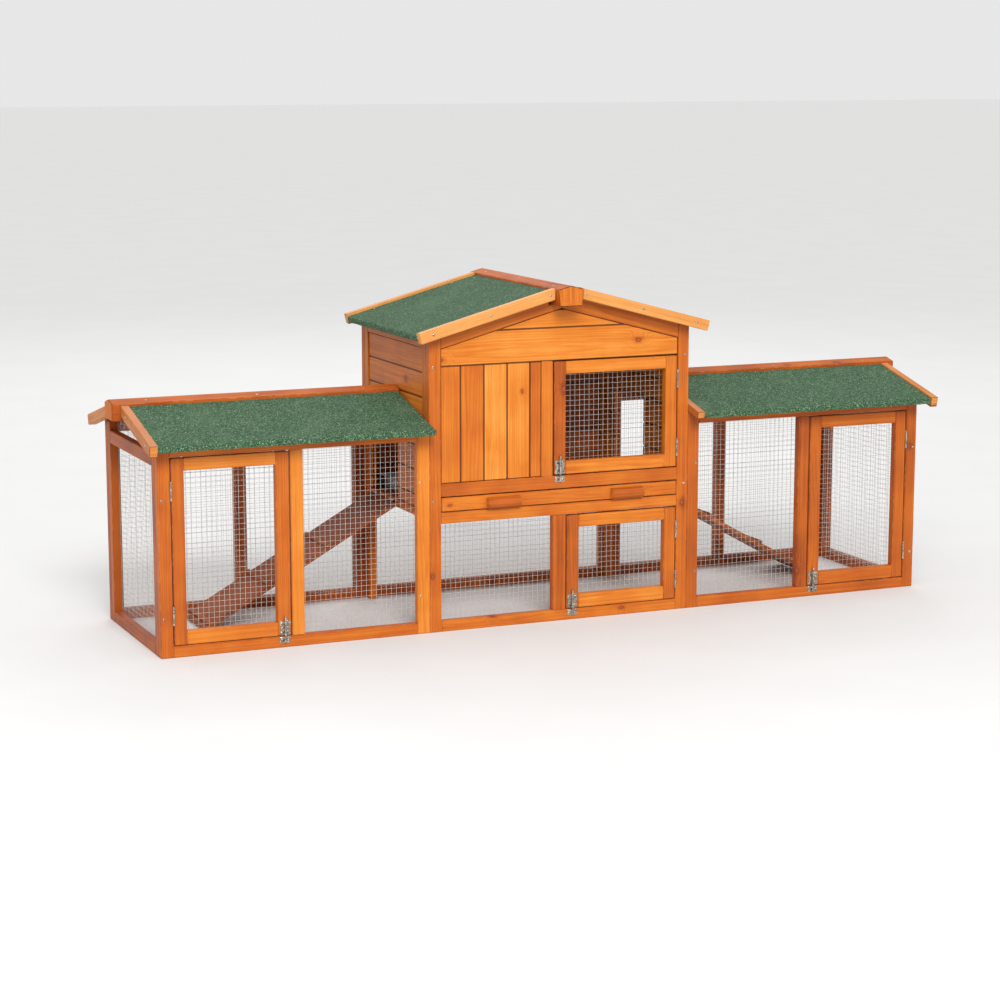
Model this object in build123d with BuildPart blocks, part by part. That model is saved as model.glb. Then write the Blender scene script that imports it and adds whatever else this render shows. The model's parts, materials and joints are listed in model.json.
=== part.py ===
"""Two-storey rabbit hutch: a gabled tower between two long mesh runs.

+X runs along the hutch, +Y to its back and +Z up. The origin is on the ground, under the
middle of the bounding box. All sizes are in millimetres.
"""
import os
from math import cos, radians, sin, tan

from build123d import *

os.makedirs("parts", exist_ok=True)

# Driving dimensions -------------------------------------------------------------------
DEPTH = 456.4  # over the front and back frames
TOWER_WIDTH = 687.8
RUN_WIDTH = 663.8
TIMBER = 30.0  # face width of posts, rails and stiles
THICK = 20.0  # thickness of every frame timber
FIT = 0.1  # hairline between butted timbers
PLAY = 0.4  # room between pieces that turn or slide past each other
BOARD_PITCH = 60.2  # face width of the tongued boards
BOARD_THICK = 12.0
BOARD_SET = 3.0  # boards stand back from their frame's face
MESH_WIRE = 1.6  # side of a square wire in the panels
MESH_PITCH = 50.8  # every fourth wire of the half-inch mesh
MESH_LAP = 8.0  # how far a panel lies over its frame

RAIL_TOP = 26.5  # top of the bottom rails
RUN_HEIGHT = 495.8  # top of the run frames
RUN_DOOR = (33.0, 313.5)  # from the run's outer end
RUN_MID_STILE = (317.5, 348.0)
RUN_INNER_POST = 31.4
DOOR_FOOT = 28.5  # underside of the doors that stand over a bottom rail
RUN_DOOR_TOP = 462.8
RUN_WINDOW = (63.0, 282.1)  # from the run's outer end
RUN_WINDOW_Z = (60.4, 433.5)
END_RAIL = (442.0, 473.0)
END_STILE = 26.0
END_MESH_EDGE = 489.8  # where the end panel's sides stop and its gable starts
END_MESH_PEAK = 524.0

TOWER_POST = 29.6
TOWER_STILE = (-52.6, -23.2)  # between the planks and the upper door
LOWER_STILE = (-21.6, 12.3)
UPPER_DOOR_X = (-19.1, 311.3)
UPPER_DOOR_Z = (362.3, 637.0)
UPPER_WINDOW = ((11.1, 281.3), (393.5, 607.0))  # in X and Z
LOWER_DOOR_X = (15.9, 311.3)
LOWER_DOOR_Z = (DOOR_FOOT, 259.3)
LOWER_WINDOW = ((47.6, 281.3), (61.3, 229.5))
LOWER_RAIL = (263.1, 290.0)
UPPER_RAIL = (328.3, 359.4)
HEADER_FOOT = 640.1  # underside of the lower gable board
GABLE_SPLIT = 720.0  # joint between the two gable boards
GABLE_TIP = 12.0  # half width of the upper gable board's blunt tip
RAFTER_PEAK = 766.5  # the rafters' lower edge, carried to the ridge line
PLANK_JOINTS = (-314.3, -263.0, -202.8, -142.4, -82.9, -52.6)

RUN_SLOPE = 14.0
RUN_APEX = 571.5  # bargeboard's top edge, carried to the ridge line
RUN_EAVE = 276.2  # roof board's lower end, from the ridge line
RUN_OVERHANG = 9.3  # from the run's end frame to the inside of its bargeboard
TOWER_SLOPE = 15.0
TOWER_APEX = 826.3
TOWER_EAVE = 378.0
TOWER_ROOF_Y = (-244.2, 229.0)  # front and back ends of the tower's roof boards
ROOF_BOARD = 12.0
FELT = 2.0
FELT_SHORT = 4.0  # strip of bare board left beside the tower
BARGE_WIDTH = 26.0  # square to the slope
INNER_BARGE_WIDTH = 17.0  # clears the run's frame beside the tower
BARGE_THICK = 20.0
BARGE_PAST_EAVE = 5.0
BARGE_STEP = {"run": 3.0, "tower": 6.0}  # bargeboard's top edge above the felt
RIDGE_WIDTH = 68.0
RIDGE_SIDE = 40.0  # height of the ridge beam's sides
RIDGE_TAPER = 4.5
RIDGE_LIFT = {"run": 3.0, "tower": -2.0}  # ridge beam's peak above the bargeboards' line
RIDGE_PAST_BARGE = {"run": 20.0, "tower": 17.0}

DOORWAY_Y = (-10.5, 160.0)  # openings from the tower's upper floor to the ramps
DOORWAY_Z = (290.0, 510.0)
WALL_FOOT = 270.0
WALL_TOP_RAIL = 683.0
WALL_TOP = 713.0
FLOOR_THICK = 6.0
FLOOR_GAP = 1.0  # between the floor and the side walls
BATTEN_SHORT = 30.0  # from each end of a floor batten to the frames

RAMP_SLOPE = 29.0
RAMP_LENGTH = 566.0
RAMP_WIDTH = 172.0
RAMP_Y = 71.0  # the ramp's middle
RAMP_THICK = 10.0
RAMP_AXIS = (347.5, 286.0)  # distance from the middle, and height
RAMP_CLEATS = (34.0, 203.0, 375.0, 546.0)  # along the ramp, from its hinge
CLEAT = (12.0, 6.0)  # along the ramp, and from its face
RAMP_START = 4.5  # the ramp's upper end, from the hinge axis
RAMP_LEAF_FOOT = -1.2  # underside of the ramp's hinge leaf, below the axis
RAMP_LEAF = (21.0, 26.0)  # along and across the ramp
RAMP_LEAF_START = 1.5  # from the hinge axis
RAMP_HINGE_Y = (-57.0, 56.0)  # from the ramp's middle

TRAY_FRONT_Z = (292.5, 325.2)
TRAY_FRONT_THICK = 18.0
TRAY_GAP = 1.5  # at each end of the tray's front
TRAY_PAN = (312.0, 206.0, 291.0, 318.0)  # half width, back end, foot and rim
PAN_SHEET = 1.0
HANDLE_LENGTH = 86.0
HANDLE_RADIUS = 14.0
HANDLE_CENTRE = 2.8  # of the handle's round face, in front of the tray
HANDLE_X = (-154.0, 175.0)
HANDLE_Z = 305.0

HINGE_LENGTH = 45.0
KNUCKLE = 2.4  # radius
PIN = 0.95  # radius
PIN_BORE = 1.0
LEAF = 1.0
LEAF_WIDTH = 17.0
LEAF_SET = 0.3  # the leaf's flat part stands back from the face
KNUCKLE_GAP = 0.2  # at each end of a knuckle
HINGE_FEET = {"run": (76.0, 366.0), "upper": (388.0, 559.0), "lower": (55.0, 181.0)}

LATCH_WIDTH = 27.0
LATCH_HEIGHT = 34.0
LATCH_PLATE = 1.2
LATCH_EDGE = 1.0  # from the timber's edge
LATCH_STRAPS = ((1.0, 5.0), (29.0, 33.0))  # above the plate's foot
KEEPER_HEIGHT = 15.0
KEEPER_STRAP = (4.0, 11.0)  # above the keeper's foot
BOLT = 2.5  # radius
BOLT_LENGTH = 48.0
BOLT_TIP = 0.5  # above the rail, when lifted
BOLT_ROOM = 0.5  # around the bolt in its straps
STRAP = 1.2
KNOB_HEIGHT = 24.5  # above the bolt's tip, between the straps with room to drop
KNOB_REACH = 7.4
KNOB_LENGTH = 9.0
KNOB_STALK = 3.0
SCREW_HEAD = 3.0  # radius
SCREW_PROUD = 0.8
SCREWS_Z = {"tower": (318.5, 638.5), "run": (92.0, 367.0)}
SCREWS_IN = {"tower": 10.0, "run end": 9.0, "run inner": 7.0}  # from the post's edge
BARGE_SCREWS_X = (46.0, 200.0, 346.0)

FRONT = -DEPTH / 2
BACK = DEPTH / 2
TOWER_HALF = TOWER_WIDTH / 2
RUN_END = TOWER_HALF + RUN_WIDTH
POST_IN = TOWER_HALF - TOWER_POST
FRONT_IN = FRONT + THICK
BACK_IN = BACK - THICK
BARGE_END = RUN_END + RUN_OVERHANG + BARGE_THICK
ROOF_END = BARGE_END - BARGE_THICK


# Helpers ------------------------------------------------------------------------------
def bar(x, y, z):
    """Add a squared timber to the current part, from its low and high X, Y and Z."""
    low = [min(pair) for pair in (x, y, z)]
    high = [max(pair) for pair in (x, y, z)]
    with Locations(tuple((a + b) / 2 for a, b in zip(low, high))):
        Box(*(b - a for a, b in zip(low, high)))


def save(name, builder):
    """Label one finished node and write its STEP file."""
    builder.part.label = name
    export_step(builder.part, f"parts/{name}.step")


def span(side, low, high):
    """The X range between two distances from the middle, on one side of the hutch."""
    return tuple(sorted((side * low, side * high)))


def from_end(side, low, high):
    """The X range between two distances from a run's outer end."""
    return span(side, RUN_END - low, RUN_END - high)


def mesh_panel(plane, outline, thick=MESH_WIRE):
    """Add a welded mesh panel, cut to an outline given in the plane's own coordinates."""
    us = [u for u, _ in outline]
    vs = [v for _, v in outline]
    width, height = max(us) - min(us), max(vs) - min(vs)
    middle = ((max(us) + min(us)) / 2, (max(vs) + min(vs)) / 2)
    columns = round(width / MESH_PITCH)
    rows = round(height / MESH_PITCH)
    with BuildSketch(plane) as grid:
        with Locations(middle):
            with GridLocations((width - MESH_WIRE) / columns, 0, columns + 1, 1):
                Rectangle(MESH_WIRE, height)
            with GridLocations(0, (height - MESH_WIRE) / rows, 1, rows + 1):
                Rectangle(width, MESH_WIRE)
        Polygon(*outline, align=None, mode=Mode.INTERSECT)
    extrude(grid.sketch, amount=thick)


def rectangle_outline(x, z):
    """A rectangle's corners, from its low and high values."""
    return [(x[0], z[0]), (x[1], z[0]), (x[1], z[1]), (x[0], z[1])]


def front_mesh(x, z):
    """Add a mesh panel on the inner face of a front frame."""
    mesh_panel(Plane.XZ.offset(-FRONT_IN - MESH_WIRE - FIT), rectangle_outline(x, z))


def back_mesh(x, z):
    """Add a mesh panel on the inner face of a back frame."""
    mesh_panel(Plane.XZ.offset(-BACK_IN + FIT), rectangle_outline(x, z))


def lapped(x, lap=MESH_LAP):
    """A low and high pair, widened so that the mesh lies over its frame."""
    return (min(x) - lap, max(x) + lap)


def door_frame(x, z, window_x, window_z):
    """Add a door's two full-height stiles and the two rails between them."""
    face = (FRONT, FRONT_IN)
    bar((x[0], window_x[0]), face, z)
    bar((window_x[1], x[1]), face, z)
    rail = (window_x[0] + FIT, window_x[1] - FIT)
    bar(rail, face, (z[0], window_z[0]))
    bar(rail, face, (window_z[1], z[1]))


def slope_section(apex, slope, reach, start=0.0):
    """Corners of a band that falls from the ridge line, as (distance, top and foot) pairs."""
    fall = tan(radians(slope))
    top, foot = apex
    return [
        (start, top - fall * start),
        (reach, top - fall * reach),
        (reach, foot - fall * reach),
        (start, foot - fall * start),
    ]


def both_slopes(plane, section, length):
    """Extrude a section and its mirror image about the ridge line."""
    for way in (1, -1):
        with BuildSketch(plane) as profile:
            Polygon(*[(way * u, v) for u, v in section], align=None)
        extrude(profile.sketch, amount=length)


def barge_section(apex, slope, reach, start, width=BARGE_WIDTH):
    """A bargeboard's face, with its lower end cut square to the slope."""
    fall = tan(radians(slope))
    drop = width / cos(radians(slope))
    lean = width * sin(radians(slope))
    end_drop = width * cos(radians(slope))
    return [
        (start, apex - fall * start),
        (reach, apex - fall * reach),
        (reach - lean, apex - fall * reach - end_drop),
        (start, apex - fall * start - drop),
    ]


def ridge_section(apex, slope):
    """A ridge beam's end: a peaked top, upright sides and a slight taper to its foot."""
    half = RIDGE_WIDTH / 2
    edge = apex - tan(radians(slope)) * half
    foot = edge - RIDGE_SIDE
    return [(0, apex), (half, edge), (half - RIDGE_TAPER, foot), (RIDGE_TAPER - half, foot), (-half, edge)]


def felt_section(top, slope, reach, start):
    """Roof felt on a slope, folded down over the eave edge of its board."""
    fall = tan(radians(slope))
    thick = FELT / cos(radians(slope))
    board = ROOF_BOARD / cos(radians(slope))
    over = reach + FELT
    return [
        (start, top - fall * start),
        (over, top - fall * over),
        (over, top - thick - board - fall * reach),
        (reach + FIT, top - thick - board - fall * reach),
        (reach + FIT, top - thick - fall * reach),
        (start, top - thick - fall * start),
    ]


def knuckles(x, foot, low, high):
    """Add a hinge knuckle between two heights above the hinge's foot."""
    with Locations((x, FRONT - KNUCKLE - FIT, foot + (low + high) / 2)):
        Cylinder(KNUCKLE, high - low)


def hinge_leaf(x, foot, side, segments):
    """Add one leaf of a butt hinge in the gap beside a door, with its knuckles."""
    leaf_x = (x + side * LEAF / 2, x + side * 1.5 * LEAF)
    bar(leaf_x, (FRONT + LEAF_SET, FRONT + LEAF_WIDTH), (foot, foot + HINGE_LENGTH))
    for low, high in segments:
        bar(leaf_x, (FRONT - KNUCKLE, FRONT + LEAF_SET + FIT), (foot + low, foot + high))
        knuckles(x, foot, low, high)


def frame_leaf(x, foot, side):
    """Add the leaf on the post, which holds the two outer knuckles and the pin."""
    third = HINGE_LENGTH / 3
    segments = ((0, third - KNUCKLE_GAP), (2 * third + KNUCKLE_GAP, HINGE_LENGTH))
    hinge_leaf(x, foot, side, segments)
    with Locations((x, FRONT - KNUCKLE - FIT, foot + HINGE_LENGTH / 2)):
        Cylinder(PIN, HINGE_LENGTH)


def door_leaf(x, foot, side):
    """Add the leaf on the door, with the bored middle knuckle."""
    third = HINGE_LENGTH / 3
    hinge_leaf(x, foot, side, ((third + KNUCKLE_GAP, 2 * third - KNUCKLE_GAP),))
    with Locations((x, FRONT - KNUCKLE - FIT, foot + HINGE_LENGTH / 2)):
        Cylinder(PIN_BORE, HINGE_LENGTH, mode=Mode.SUBTRACT)


STRAP_DEEP = LATCH_PLATE + 2 * (BOLT + BOLT_ROOM)  # from the door's face to inside the strap


def strap(x, foot, heights):
    """Add a bridge over the bolt: two legs and a crosspiece."""
    inner = BOLT + BOLT_ROOM
    z = (foot + heights[0], foot + heights[1])
    for way in (-1, 1):
        leg = (x + way * inner, x + way * (inner + STRAP))
        bar(leg, (FRONT - LATCH_PLATE - FIT, FRONT - STRAP_DEEP), z)
    bridge = (FRONT - STRAP_DEEP - FIT, FRONT - STRAP_DEEP - STRAP)
    bar((x - inner - STRAP, x + inner + STRAP), bridge, z)


def backplate(x, foot, height):
    """Add the flat plate that carries the straps."""
    plate_x = (x - LATCH_WIDTH / 2, x + LATCH_WIDTH / 2)
    bar(plate_x, (FRONT - FIT, FRONT - LATCH_PLATE), (foot, foot + height))


def latch_plate(x, foot):
    """Add a barrel bolt's plate and its two straps on a door's lower free corner."""
    backplate(x, foot, LATCH_HEIGHT)
    for heights in LATCH_STRAPS:
        strap(x, foot, heights)


def keeper(x, top):
    """Add the keeper that the bolt drops into, on the rail below the door."""
    foot = top - KEEPER_HEIGHT
    backplate(x, foot, KEEPER_HEIGHT)
    strap(x, foot, KEEPER_STRAP)


def bolt(x, foot):
    """Add a sliding bolt with its thumb knob, its tip just above the keeper."""
    y = FRONT - LATCH_PLATE - BOLT - BOLT_ROOM
    with Locations((x, y, foot + BOLT_LENGTH / 2)):
        Cylinder(BOLT, BOLT_LENGTH)
    knob_y = y - KNOB_REACH
    knob_z = foot + KNOB_HEIGHT
    with Locations((x, (y + knob_y) / 2, knob_z)):
        Box(KNOB_STALK, KNOB_REACH, KNOB_STALK)
    with Locations(Location((x + KNOB_LENGTH / 3, knob_y, knob_z), (0, 90, 0))):
        Cylinder(BOLT, KNOB_LENGTH)


def run_latch_x(side):
    """The middle of the latch on a run's door."""
    return side * (RUN_END - RUN_DOOR[1] + LATCH_WIDTH / 2 + LATCH_EDGE)


def tower_latch_x(door_x):
    """The middle of the latch on a tower door."""
    return door_x[0] + LATCH_WIDTH / 2 + LATCH_EDGE


def screw_front(x, z, y=FRONT):
    """Add a screw head on a face that looks to the front."""
    with Locations(Location((x, y - SCREW_PROUD / 2 - FIT, z), (90, 0, 0))):
        Cylinder(SCREW_HEAD, SCREW_PROUD)


def board_rows(foot, top):
    """Heights of the tongued boards that fill a wall, with full boards at its top."""
    rows = []
    while top > foot + BOARD_PITCH * 0.4:
        low = top - BOARD_PITCH if top - BOARD_PITCH > foot + BOARD_PITCH * 0.4 else foot
        rows.append((low + FIT, top - FIT))
        top = low
    return rows


# The runs, left and right, which mirror each other -----------------------------------
for run, side in (("left_run", -1), ("right_run", 1)):
    end_post = from_end(side, 0, TIMBER)
    mid_stile = from_end(side, *RUN_MID_STILE)
    inner_post = span(side, TOWER_HALF + FIT, TOWER_HALF + RUN_INNER_POST)
    rail_x = from_end(side, TIMBER + FIT, RUN_WIDTH - RUN_INNER_POST - FIT)
    door_x = from_end(side, *RUN_DOOR)
    opening_x = from_end(side, RUN_MID_STILE[1], RUN_WIDTH - RUN_INNER_POST)

    for place, frame_y in (("front", (FRONT, FRONT_IN)), ("back", (BACK_IN, BACK))):
        with BuildPart() as frame:
            bar(end_post, frame_y, (0, RUN_HEIGHT))
            bar(inner_post, frame_y, (0, RUN_HEIGHT))
            bar(rail_x, frame_y, (0, RAIL_TOP))
            bar(rail_x, frame_y, (RUN_HEIGHT - TIMBER, RUN_HEIGHT))
            bar(mid_stile, frame_y, (RAIL_TOP + FIT, RUN_HEIGHT - TIMBER - FIT))
        save(f"{run}_{place}_frame", frame)

    end_x = span(side, RUN_END - THICK, RUN_END)
    stile_y = (FRONT_IN + FIT, FRONT_IN + END_STILE)
    end_rail_y = (stile_y[1] + FIT, -stile_y[1] - FIT)
    with BuildPart() as end_frame:
        bar(end_x, stile_y, (0, RUN_HEIGHT))
        bar(end_x, (-stile_y[0], -stile_y[1]), (0, RUN_HEIGHT))
        bar(end_x, end_rail_y, (0, RAIL_TOP))
        bar(end_x, end_rail_y, END_RAIL)
    save(f"{run}_end_frame", end_frame)

    window_z = (RAIL_TOP, RUN_HEIGHT - TIMBER)
    back_bay_x = from_end(side, TIMBER, RUN_MID_STILE[0])
    gable_y = -stile_y[1] + MESH_LAP
    gable_top_y = gable_y - (END_MESH_PEAK - END_MESH_EDGE) / tan(radians(RUN_SLOPE))
    end_outline = [
        (-gable_y, RAIL_TOP - MESH_LAP),
        (gable_y, RAIL_TOP - MESH_LAP),
        (gable_y, END_MESH_EDGE),
        (gable_top_y, END_MESH_PEAK),
        (-gable_top_y, END_MESH_PEAK),
        (-gable_y, END_MESH_EDGE),
    ]
    mesh_x = side * (RUN_END - THICK - FIT) - (MESH_WIRE if side > 0 else 0)
    with BuildPart() as mesh:
        front_mesh(lapped(opening_x), lapped(window_z))
        back_mesh(lapped(opening_x), lapped(window_z))
        back_mesh(lapped(back_bay_x), lapped(window_z))
        mesh_panel(Plane.YZ.offset(mesh_x), end_outline)
    save(f"{run}_mesh", mesh)

    # The right run's roof has a bargeboard against the tower too.
    inner_barge = BARGE_THICK + FIT if side > 0 else 0.0
    roof_x = span(side, TOWER_HALF + FIT + inner_barge, ROOF_END - FIT)
    felt_gap = 0.0 if side > 0 else FELT_SHORT
    felt_x = span(side, TOWER_HALF + FIT + inner_barge + felt_gap, ROOF_END - FIT)
    felt_top = RUN_APEX - BARGE_STEP["run"]
    board_top = felt_top - FELT / cos(radians(RUN_SLOPE)) - FIT
    board_band = (board_top, board_top - ROOF_BOARD / cos(radians(RUN_SLOPE)) + FIT)
    ridge_half = RIDGE_WIDTH / 2 + FIT
    with BuildPart() as roof_boards:
        both_slopes(
            Plane.YZ.offset(roof_x[0]),
            slope_section(board_band, RUN_SLOPE, RUN_EAVE, ridge_half),
            roof_x[1] - roof_x[0],
        )
    save(f"{run}_roof_boards", roof_boards)

    with BuildPart() as felt:
        both_slopes(
            Plane.YZ.offset(felt_x[0]),
            felt_section(felt_top, RUN_SLOPE, RUN_EAVE, ridge_half),
            felt_x[1] - felt_x[0],
        )
    save(f"{run}_roof_felt", felt)

    barge_reach = RUN_EAVE + BARGE_PAST_EAVE
    barge_ends = [(span(side, ROOF_END, BARGE_END), BARGE_WIDTH)]
    if side > 0:
        barge_ends.append((span(side, TOWER_HALF + FIT, TOWER_HALF + BARGE_THICK), INNER_BARGE_WIDTH))
    with BuildPart() as bargeboards:
        for (low, high), width in barge_ends:
            section = barge_section(RUN_APEX, RUN_SLOPE, barge_reach, ridge_half, width)
            both_slopes(Plane.YZ.offset(low), section, high - low)
    save(f"{run}_bargeboards", bargeboards)

    ridge_x = span(side, TOWER_HALF + FIT, BARGE_END + RIDGE_PAST_BARGE["run"])
    with BuildPart() as ridge:
        with BuildSketch(Plane.YZ.offset(ridge_x[0])):
            Polygon(*ridge_section(RUN_APEX + RIDGE_LIFT["run"], RUN_SLOPE), align=None)
        extrude(amount=ridge_x[1] - ridge_x[0])
    save(f"{run}_ridge_beam", ridge)

    run_window_x = from_end(side, *RUN_WINDOW)
    with BuildPart() as door:
        door_frame(door_x, (DOOR_FOOT, RUN_DOOR_TOP), run_window_x, RUN_WINDOW_Z)
    save(f"{run}_door_frame", door)

    with BuildPart() as door_mesh:
        front_mesh(lapped(run_window_x), lapped(RUN_WINDOW_Z))
    save(f"{run}_door_mesh", door_mesh)

    hinge_x = side * (RUN_END - (TIMBER + RUN_DOOR[0]) / 2)
    with BuildPart() as frame_hinges:
        for foot in HINGE_FEET["run"]:
            frame_leaf(hinge_x, foot, side)
    save(f"{run}_door_hinges", frame_hinges)

    latch_x = run_latch_x(side)
    with BuildPart() as fittings:
        for foot in HINGE_FEET["run"]:
            door_leaf(hinge_x, foot, -side)
        latch_plate(latch_x, DOOR_FOOT + LATCH_EDGE)
    save(f"{run}_door_fittings", fittings)

    with BuildPart() as run_bolt:
        bolt(latch_x, RAIL_TOP + BOLT_TIP)
    save(f"{run}_latch_bolt", run_bolt)

    # The ramp is drawn in a plane whose first axis runs outward and down along it.
    slope = radians(RAMP_SLOPE)
    ramp_plane = Plane(
        origin=(side * RAMP_AXIS[0], RAMP_Y, RAMP_AXIS[1]),
        x_dir=(side * cos(slope), 0, -sin(slope)),
        z_dir=(0, -1, 0) if side > 0 else (0, 1, 0),
    )
    board_face = RAMP_LEAF_FOOT - FIT
    with BuildPart() as ramp:
        with BuildSketch(ramp_plane):
            with Locations(((RAMP_START + RAMP_LENGTH) / 2, board_face - RAMP_THICK / 2)):
                Rectangle(RAMP_LENGTH - RAMP_START, RAMP_THICK)
        extrude(amount=RAMP_WIDTH / 2, both=True)
        with BuildSketch(ramp_plane):
            for along in RAMP_CLEATS:
                with Locations((along, board_face + FIT + CLEAT[1] / 2)):
                    Rectangle(*CLEAT)
        extrude(amount=RAMP_WIDTH / 2, both=True)
    save(f"{run}_ramp", ramp)

    third = RAMP_LEAF[1] / 3
    leaf_middle = RAMP_LEAF_FOOT + LEAF / 2
    with BuildPart() as ramp_leaves:
        for y in RAMP_HINGE_Y:
            with BuildSketch(ramp_plane.offset(-side * y)):
                with Locations((RAMP_LEAF[0] / 2 + RAMP_LEAF_START, leaf_middle)):
                    Rectangle(RAMP_LEAF[0], LEAF)
            extrude(amount=third * 1.5, both=True)
            with BuildSketch(ramp_plane.offset(-side * y)):
                Circle(KNUCKLE)
                with Locations((RAMP_LEAF_START, leaf_middle)):
                    Rectangle(2 * RAMP_LEAF_START, LEAF)
            extrude(amount=third / 2 - KNUCKLE_GAP, both=True)
            with BuildSketch(ramp_plane.offset(-side * y)):
                Circle(PIN_BORE)
            extrude(amount=third * 2, both=True, mode=Mode.SUBTRACT)
            for way in (-1, 1):
                with BuildSketch(ramp_plane.offset(-side * y + way * third)):
                    Circle(KNUCKLE + PLAY)
                extrude(amount=third / 2 + KNUCKLE_GAP, both=True, mode=Mode.SUBTRACT)
    save(f"{run}_ramp_leaves", ramp_leaves)

    with BuildPart() as ramp_hinges:
        for y in RAMP_HINGE_Y:
            leaf_y = (RAMP_Y + y - third * 1.5, RAMP_Y + y + third * 1.5)
            leaf_x = span(side, TOWER_HALF + FIT, TOWER_HALF + LEAF + FIT)
            bar(leaf_x, leaf_y, (WALL_FOOT + LEAF, RAMP_AXIS[1] - KNUCKLE - PLAY))
            tab_x = span(side, TOWER_HALF + FIT, RAMP_AXIS[0])
            tab_z = (RAMP_AXIS[1] - LEAF / 2, RAMP_AXIS[1] + LEAF / 2)
            for way in (-1, 1):
                ends = (third / 2 + KNUCKLE_GAP, 3 * third / 2)
                segment_y = sorted(RAMP_Y + y + way * end for end in ends)
                bar(leaf_x, segment_y, (RAMP_AXIS[1] - KNUCKLE - LEAF, RAMP_AXIS[1]))
                bar(tab_x, segment_y, tab_z)
                centre = (side * RAMP_AXIS[0], sum(segment_y) / 2, RAMP_AXIS[1])
                with Locations(Location(centre, (90, 0, 0))):
                    Cylinder(KNUCKLE, segment_y[1] - segment_y[0])
            with Locations(Location((side * RAMP_AXIS[0], RAMP_Y + y, RAMP_AXIS[1]), (90, 0, 0))):
                Cylinder(PIN, 3 * third)
    save(f"{run}_ramp_hinges", ramp_hinges)


# The tower's frames -------------------------------------------------------------------
post_x = (POST_IN, TOWER_HALF)
between_posts = (-POST_IN + FIT, POST_IN - FIT)
front_y = (FRONT, FRONT_IN)
back_y = (BACK_IN, BACK)
with BuildPart() as tower_front_frame:
    for side in (-1, 1):
        bar(span(side, *post_x), front_y, (0, WALL_TOP))
    bar(between_posts, front_y, (0, RAIL_TOP))
    bar(between_posts, front_y, LOWER_RAIL)
    bar(between_posts, front_y, UPPER_RAIL)
    bar(TOWER_STILE, front_y, (UPPER_RAIL[1] + FIT, HEADER_FOOT - FIT))
    bar(LOWER_STILE, front_y, (RAIL_TOP + FIT, LOWER_RAIL[0] - FIT))
save("tower_front_frame", tower_front_frame)

with BuildPart() as tower_front_planks:
    plank_y = (FRONT + BOARD_SET, FRONT + BOARD_SET + BOARD_THICK)
    for low, high in zip(PLANK_JOINTS, PLANK_JOINTS[1:]):
        bar((low + FIT, high - FIT), plank_y, (UPPER_RAIL[1] + FIT, HEADER_FOOT - FIT))
save("tower_front_planks", tower_front_planks)

tower_fall = tan(radians(TOWER_SLOPE))
tower_felt_top = TOWER_APEX - BARGE_STEP["tower"]
tower_board_top = tower_felt_top - FELT / cos(radians(TOWER_SLOPE)) - FIT
tower_board_foot = tower_board_top - ROOF_BOARD / cos(radians(TOWER_SLOPE)) + FIT
rafter_top = tower_board_foot - FIT
tower_ridge_peak = TOWER_APEX + RIDGE_LIFT["tower"]
tower_ridge_foot = tower_ridge_peak - tower_fall * RIDGE_WIDTH / 2 - RIDGE_SIDE


def gable_boards(y):
    """Add a gable's lower and upper boards, cut to the rafters."""
    low_edge = RAFTER_PEAK - FIT - tower_fall * (POST_IN - FIT)
    split_x = (RAFTER_PEAK - FIT - GABLE_SPLIT) / tower_fall
    tip_z = RAFTER_PEAK - tower_fall * GABLE_TIP - PLAY
    with BuildSketch(Plane.XZ.offset(-y[1])) as lower:
        Polygon(
            (-POST_IN + FIT, HEADER_FOOT),
            (POST_IN - FIT, HEADER_FOOT),
            (POST_IN - FIT, low_edge),
            (split_x, GABLE_SPLIT - FIT),
            (-split_x, GABLE_SPLIT - FIT),
            (-POST_IN + FIT, low_edge),
            align=None,
        )
    extrude(lower.sketch, amount=y[1] - y[0])
    with BuildSketch(Plane.XZ.offset(-y[1])) as upper:
        Polygon(
            (-split_x + 4 * PLAY, GABLE_SPLIT + FIT),
            (split_x - 4 * PLAY, GABLE_SPLIT + FIT),
            (GABLE_TIP, tip_z),
            (-GABLE_TIP, tip_z),
            align=None,
        )
    extrude(upper.sketch, amount=y[1] - y[0])


with BuildPart() as tower_gable_boards:
    gable_boards((FRONT + BOARD_SET, FRONT + BOARD_SET + BOARD_THICK))
    gable_boards((BACK - BOARD_SET - BOARD_THICK, BACK - BOARD_SET))
save("tower_gable_boards", tower_gable_boards)

with BuildPart() as tower_rafters:
    for y in (front_y, back_y):
        foot_x = POST_IN - FIT
        ridge_x = RIDGE_WIDTH / 2 + FIT
        for side in (-1, 1):
            with BuildSketch(Plane.XZ.offset(-y[1])):
                Polygon(
                    (side * FIT, RAFTER_PEAK),
                    (side * FIT, tower_ridge_foot - FIT),
                    (side * ridge_x, tower_ridge_foot - FIT),
                    (side * ridge_x, rafter_top - tower_fall * ridge_x),
                    (side * foot_x, rafter_top - tower_fall * foot_x),
                    (side * foot_x, RAFTER_PEAK - tower_fall * foot_x),
                    align=None,
                )
            extrude(amount=y[1] - y[0])
save("tower_rafters", tower_rafters)

wall_stile_y = (FRONT_IN + FIT, FRONT_IN + END_STILE)
wall_rail_y = (wall_stile_y[1] + FIT, -wall_stile_y[1] - FIT)
with BuildPart() as tower_wall_frames:
    for side in (-1, 1):
        wall_x = span(side, TOWER_HALF - THICK, TOWER_HALF)
        bar(wall_x, wall_stile_y, (0, WALL_TOP))
        bar(wall_x, (-wall_stile_y[0], -wall_stile_y[1]), (0, WALL_TOP))
        bar(wall_x, wall_rail_y, (WALL_FOOT, DOORWAY_Z[0]))
        bar(wall_x, wall_rail_y, (WALL_TOP_RAIL, WALL_TOP))
save("tower_wall_frames", tower_wall_frames)

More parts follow.
